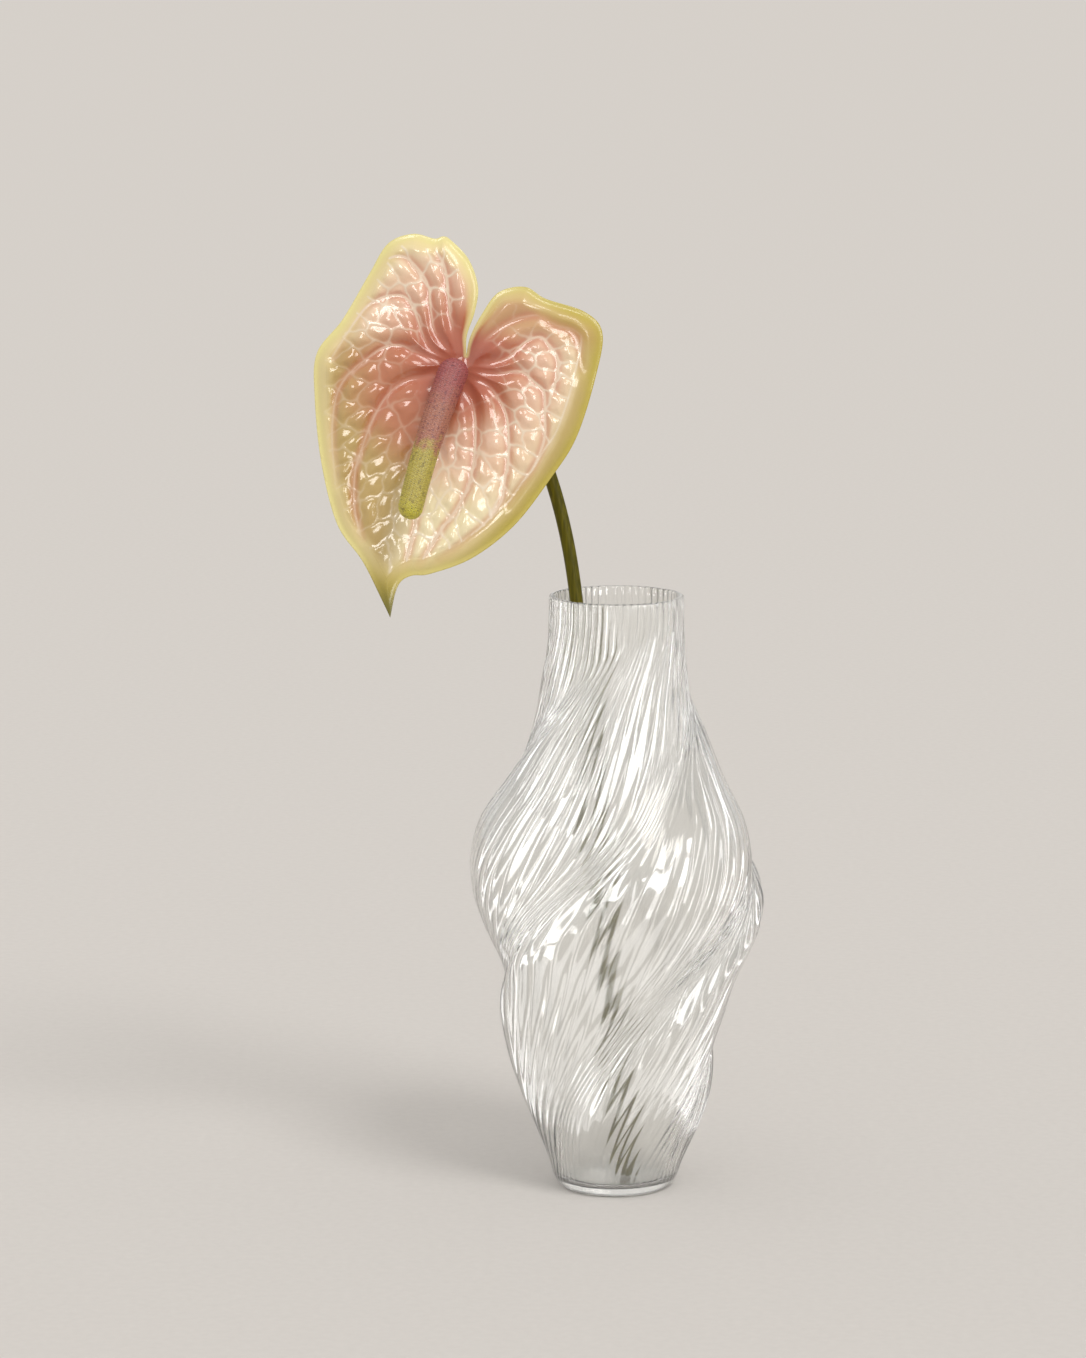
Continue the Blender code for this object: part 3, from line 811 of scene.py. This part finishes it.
def spathe_material():
    surface = new_material("waxy_spathe", srgb(228, 180, 136), 0.2, Coat_Weight=0.4, Coat_Roughness=0.09)
    base, margin, down = (value_of(surface, name) for name in ("base_mm", "margin_mm", "down_mm"))
    golden_shade, right_side = value_of(surface, "golden_shade"), value_of(surface, "right_side")
    wander = noise(surface, 70, 3)
    base_moved = moved_by(surface, base, noise(surface, 22, 2), BASE_WANDER_MM)
    peach = mixed(surface, ranged(surface, wander, 0.35, 0.65), srgb(250, 212, 184), srgb(244, 200, 170))
    colour = mixed(surface, ranged(surface, base_moved, *GOLD_FROM_BASE_MM), peach, srgb(255, 240, 198))
    # Partly painted shade: the lower left is a darker golden, for its golden tone and for the side away
    # from the sun.
    colour = mixed(surface, golden_shade, colour, srgb(202, 172, 108))
    shift = calculate(surface, "MULTIPLY", golden_shade, GOLDEN_SHADE_SALMON_SHIFT_MM)
    salmon_from = calculate(surface, "SUBTRACT", base_moved, shift)
    colour = mixed(surface, ranged(surface, salmon_from, *SALMON_FROM_BASE_MM), colour, srgb(204, 130, 96))
    colour = mixed(surface, ranged(surface, base_moved, *BRICK_FROM_BASE_MM), colour, srgb(190, 102, 80))
    colour = mixed(surface, value_of(surface, "upper_right"), colour, srgb(214, 168, 122))
    # Partly painted shade: the main veins' grooves are flushed a darker pink, for their own pink and for
    # the shade that falls in them.
    vein_flush_and_shade = ranged(surface, value_of(surface, "main_mm"), *FLUSH_AND_SHADE_FROM_VEIN_MM, 0.0, 0.48)
    colour = mixed(surface, vein_flush_and_shade, colour, srgb(212, 134, 110))
    margin_moved = moved_by(surface, margin, wander, EDGE_WANDER_MM)
    # Painted light and shade: the margin's tan and rim are paler on the left, partly a painted reflection,
    # and deeper on the right, partly painted shade where the lobe curves away.
    tan_lit_and_shaded = mixed(surface, right_side, srgb(244, 224, 162), srgb(200, 172, 88))
    colour = mixed(surface, ranged(surface, margin_moved, *TAN_FROM_EDGE_MM, 0.0, 0.85), colour, tan_lit_and_shaded)
    rim_lit_and_shaded = mixed(surface, right_side, srgb(244, 232, 154), srgb(201, 182, 70))
    colour = mixed(surface, ranged(surface, margin_moved, *RIM_FROM_EDGE_MM), colour, rim_lit_and_shaded)
    colour = mixed(surface, ranged(surface, down, *TIP_DOWN_MM), colour, srgb(200, 178, 72))
    colour = mixed(surface, ranged(surface, down, *TIP_END_DOWN_MM), colour, srgb(112, 106, 12))
    patchy = ranged(surface, noise(surface, 130, 2), 0.3, 0.65, 0.6, 1.0)
    fine = calculate(surface, "MULTIPLY", value_of(surface, "fine_line"), patchy)
    colour = mixed(surface, fine, colour, srgb(255, 240, 216))
    colour = mixed(surface, value_of(surface, "main_line"), colour, srgb(248, 222, 196))
    near_base = ranged(surface, base_moved, *BACK_BRICK_FROM_BASE_MM)
    back = mixed(surface, near_base, srgb(214, 190, 136), srgb(200, 140, 104))
    # Partly painted highlight: the back is paler along its raised main veins, for their paler tone and the
    # light that their ridges catch.
    back_vein_and_highlight = ranged(surface, value_of(surface, "main_mm"), *BACK_VEIN_HIGHLIGHT_MM, 0.0, 0.6)
    back = mixed(surface, back_vein_and_highlight, back, srgb(230, 206, 158))
    back = mixed(surface, ranged(surface, margin_moved, *BACK_RIM_FROM_EDGE_MM), back, srgb(198, 190, 116))
    colour = mixed(surface, value_of(surface, "front"), back, colour)
    set_input(surface, "Base Color", colour)
    set_input(surface, "Roughness", ranged(surface, margin, *DULL_FROM_EDGE_MM, 0.18, 0.4))
    bump(surface, noise(surface, 1400, 2), 0.00004, 0.35)
    return surface


# Spadix


def build_spadix():
    axis = SPADIX_TIP - SPADIX_BASE
    length = axis.length
    turn = np.array(axis.to_track_quat("Z", "Y").to_matrix())
    angle = np.arange(SPADIX_COLUMNS) * 2 * math.pi / SPADIX_COLUMNS
    closer = 0.5 - 0.5 * np.cos(np.linspace(FIRST_RING_ANGLE, math.pi - FIRST_RING_ANGLE, SPADIX_RINGS))
    even = np.linspace(FIRST_RING, 1 - FIRST_RING, SPADIX_RINGS)
    share, angle = np.meshgrid(ENDS_SHARE * closer + (1 - ENDS_SHARE) * even, angle, indexing="ij")
    full = smooth_value(SPADIX_RADIUS_MM, share) * MM
    from_end = np.minimum(share, 1 - share) * length
    rounding = np.sqrt(1 - (1 - np.clip(from_end / full, 0, 1)) ** 2)
    dome, centre = floret_fields(angle, share * length)
    radius = (full + FLORET_HEIGHT * (dome - PIT_DEPTH * centre - 0.5)) * rounding
    local = np.stack([radius * np.cos(angle), radius * np.sin(angle), share * length], axis=-1)
    bow = np.array([-1.0, 0.0, 0.0]) * (SPADIX_BOW * np.sin(math.pi * share))[..., None]
    points = np.array(SPADIX_BASE) + local @ turn.T + bow
    values = {"share": share.ravel(), "dome": dome.ravel(), "centre": centre.ravel()}
    mesh = mesh_of("spadix_spike", points.reshape(-1, 3), loft_faces(SPADIX_RINGS, SPADIX_COLUMNS), values)
    add_piece("spadix_spike", mesh, spadix_material(), "spadix")


def floret_fields(angle, along):
    """A low dome for each floret, and the small pit at its centre, from 0 to 1."""
    round_share = angle / (2 * math.pi)
    first = SPIRALS[0] * round_share + along / SPIRAL_STEP
    second = SPIRALS[1] * round_share - along / SPIRAL_STEP
    first, second = first - np.round(first), second - np.round(second)
    edge = 2 * np.maximum(np.abs(first), np.abs(second))
    dome = 1 - edge**FLORET_POWER
    centre = bell(np.hypot(first, second), PIT_WIDTH)
    return dome, centre


def spadix_material():
    surface = new_material(
        "spadix_florets", srgb(170, 110, 110), 0.42, Coat_Weight=0.2, Coat_Roughness=0.15
    )
    moved = moved_by(surface, value_of(surface, "share"), noise(surface, 260, 4), 0.3)
    pale, green = ranged(surface, moved, *PALE_PINK_FROM), ranged(surface, moved, *GREEN_FROM)
    colour = mixed(surface, pale, srgb(174, 86, 86), srgb(184, 118, 94))
    colour = mixed(surface, green, colour, srgb(194, 179, 72))
    colour = mixed(surface, ranged(surface, moved, *BRIGHT_GREEN_FROM), colour, srgb(213, 204, 58))
    # Painted shade: darker in the grooves between the florets.
    groove_shade = ranged(surface, value_of(surface, "dome"), 0.6, 0.0, 0.0, 0.5)
    colour = mixed(surface, groove_shade, colour, srgb(104, 56, 50))
    # Painted shade of pits: dark spots at random, and at each floret's central pit.
    pit_shade_colour = mixed(surface, green, srgb(100, 44, 52), srgb(112, 96, 34))
    random_pit_shade = ranged(surface, noise(surface, 620, 2), 0.56, 0.68, 0.0, 0.6)
    colour = mixed(surface, random_pit_shade, colour, pit_shade_colour)
    uneven = ranged(surface, noise(surface, 480, 2), 0.38, 0.6, 0.15, 0.85)
    centre_pit_shade = calculate(surface, "MULTIPLY", ranged(surface, value_of(surface, "centre"), 0.1, 0.6), uneven)
    colour = mixed(surface, centre_pit_shade, colour, pit_shade_colour)
    set_input(surface, "Base Color", colour)
    bump(surface, noise(surface, 2600, 2), 0.00003, 0.5)
    return surface


# Stage


def build_floor():
    mesh = bpy.data.meshes.new("floor")
    shape = bmesh.new()
    bmesh.ops.create_circle(shape, cap_ends=True, segments=96, radius=STAGE_RADIUS)
    shape.to_mesh(mesh)
    shape.free()
    floor = bpy.data.objects.new("floor", mesh)
    surface = new_material("pale_floor", srgb(217, 213, 209), 0.9, Specular_IOR_Level=0.0)
    colour = mixed(surface, noise(surface, 240, 4), srgb(221, 217, 213), srgb(213, 209, 205))
    set_input(surface, "Base Color", colour)
    mesh.materials.append(surface)
    floor.location.z = -STAGE_GAP
    bpy.context.scene.collection.objects.link(floor)


def add_light(name, kind, place, target, power, **settings):
    light = bpy.data.lights.new(name, kind)
    light.energy = power
    for setting, value in settings.items():
        setattr(light, setting, value)
    lamp = bpy.data.objects.new(name, light)
    lamp.location = place
    lamp.rotation_euler = (Vector(target) - Vector(place)).to_track_quat("-Z", "Y").to_euler()
    bpy.context.scene.collection.objects.link(lamp)
    return lamp


def add_shine(name, place, size, power, shown_on=None, target=MIDDLE):
    """An area light that shows only as a reflection, on every piece or on a collection of them."""
    width, height = size
    lamp = add_light(name, "AREA", place, target, power, shape="RECTANGLE", size=width, size_y=height)
    lamp.visible_camera = False
    lamp.visible_diffuse = False
    lamp.visible_transmission = False
    if shown_on:
        lamp.light_linking.receiver_collection = shown_on


def build_shines(vase):
    """The strips, which show on the vase alone, and the panels."""
    glass = bpy.data.collections.new("glass")
    glass.objects.link(vase)
    for k, azimuth in enumerate(np.radians(np.linspace(-STRIP_ARC_DEG, STRIP_ARC_DEG, STRIPS))):
        outward = Vector((math.sin(azimuth), -math.cos(azimuth), 0))
        place = outward * STRIP_RING + Vector((0, 0, STRIP_SIZE[1] / 2))
        add_shine(f"strip_{k + 1}", place, STRIP_SIZE, STRIP_POWER, glass)
        place = outward * LOW_STRIP_RING + Vector((0, 0, LOW_STRIP_Z))
        target = place - outward * LOW_STRIP_LEAN + Vector((0, 0, 1))
        add_shine(f"low_strip_{k + 1}", place, LOW_STRIP_SIZE, LOW_STRIP_POWER, glass, target)
    add_shine("left_strip", LEFT_STRIP_PLACE, LEFT_STRIP_SIZE, LEFT_STRIP_POWER, glass)
    add_shine("left_low_strip", LEFT_LOW_PLACE, LEFT_LOW_SIZE, LEFT_LOW_POWER, glass)
    for k, (place, power) in enumerate(zip(PANEL_PLACES, PANEL_POWERS)):
        add_shine(f"panel_{k + 1}", place, PANEL_SIZE, power)


def build_daylight():
    """The sun, the sky and enough bounces for the light to pass through both walls of the vase."""
    angle = math.radians(SUN_ANGLE_DEG)
    add_light("key_sun", "SUN", SUN_PLACE, (0, 0, 0), SUN_POWER, angle=angle, color=(1.0, 0.98, 0.95))
    world = bpy.data.worlds.new("studio")
    world.use_nodes = True
    background = world.node_tree.nodes["Background"]
    background.inputs["Color"].default_value = srgb(238, 236, 233)
    background.inputs["Strength"].default_value = SKY_STRENGTH
    bpy.context.scene.world = world
    bpy.context.scene.cycles.max_bounces = LIGHT_BOUNCES
    bpy.context.scene.cycles.transmission_bounces = LIGHT_BOUNCES


def build_camera():
    data = bpy.data.cameras.new("camera")
    data.lens = CAMERA_LENS_MM
    data.sensor_width = SENSOR_MM
    data.sensor_fit = "AUTO"
    camera = bpy.data.objects.new("camera", data)
    camera.location = CAMERA_PLACE
    camera.rotation_euler = (math.radians(90 - CAMERA_PITCH_DEG), 0, 0)
    bpy.context.scene.collection.objects.link(camera)
    bpy.context.scene.camera = camera
    bpy.context.scene.view_settings.view_transform = "Standard"


def main():
    for old in list(bpy.data.objects):
        bpy.data.objects.remove(old)
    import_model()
    build_camera()
    build_floor()
    build_daylight()
    build_shines(build_vase())
    build_stem()
    build_spathe()
    build_spadix()
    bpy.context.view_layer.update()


main()
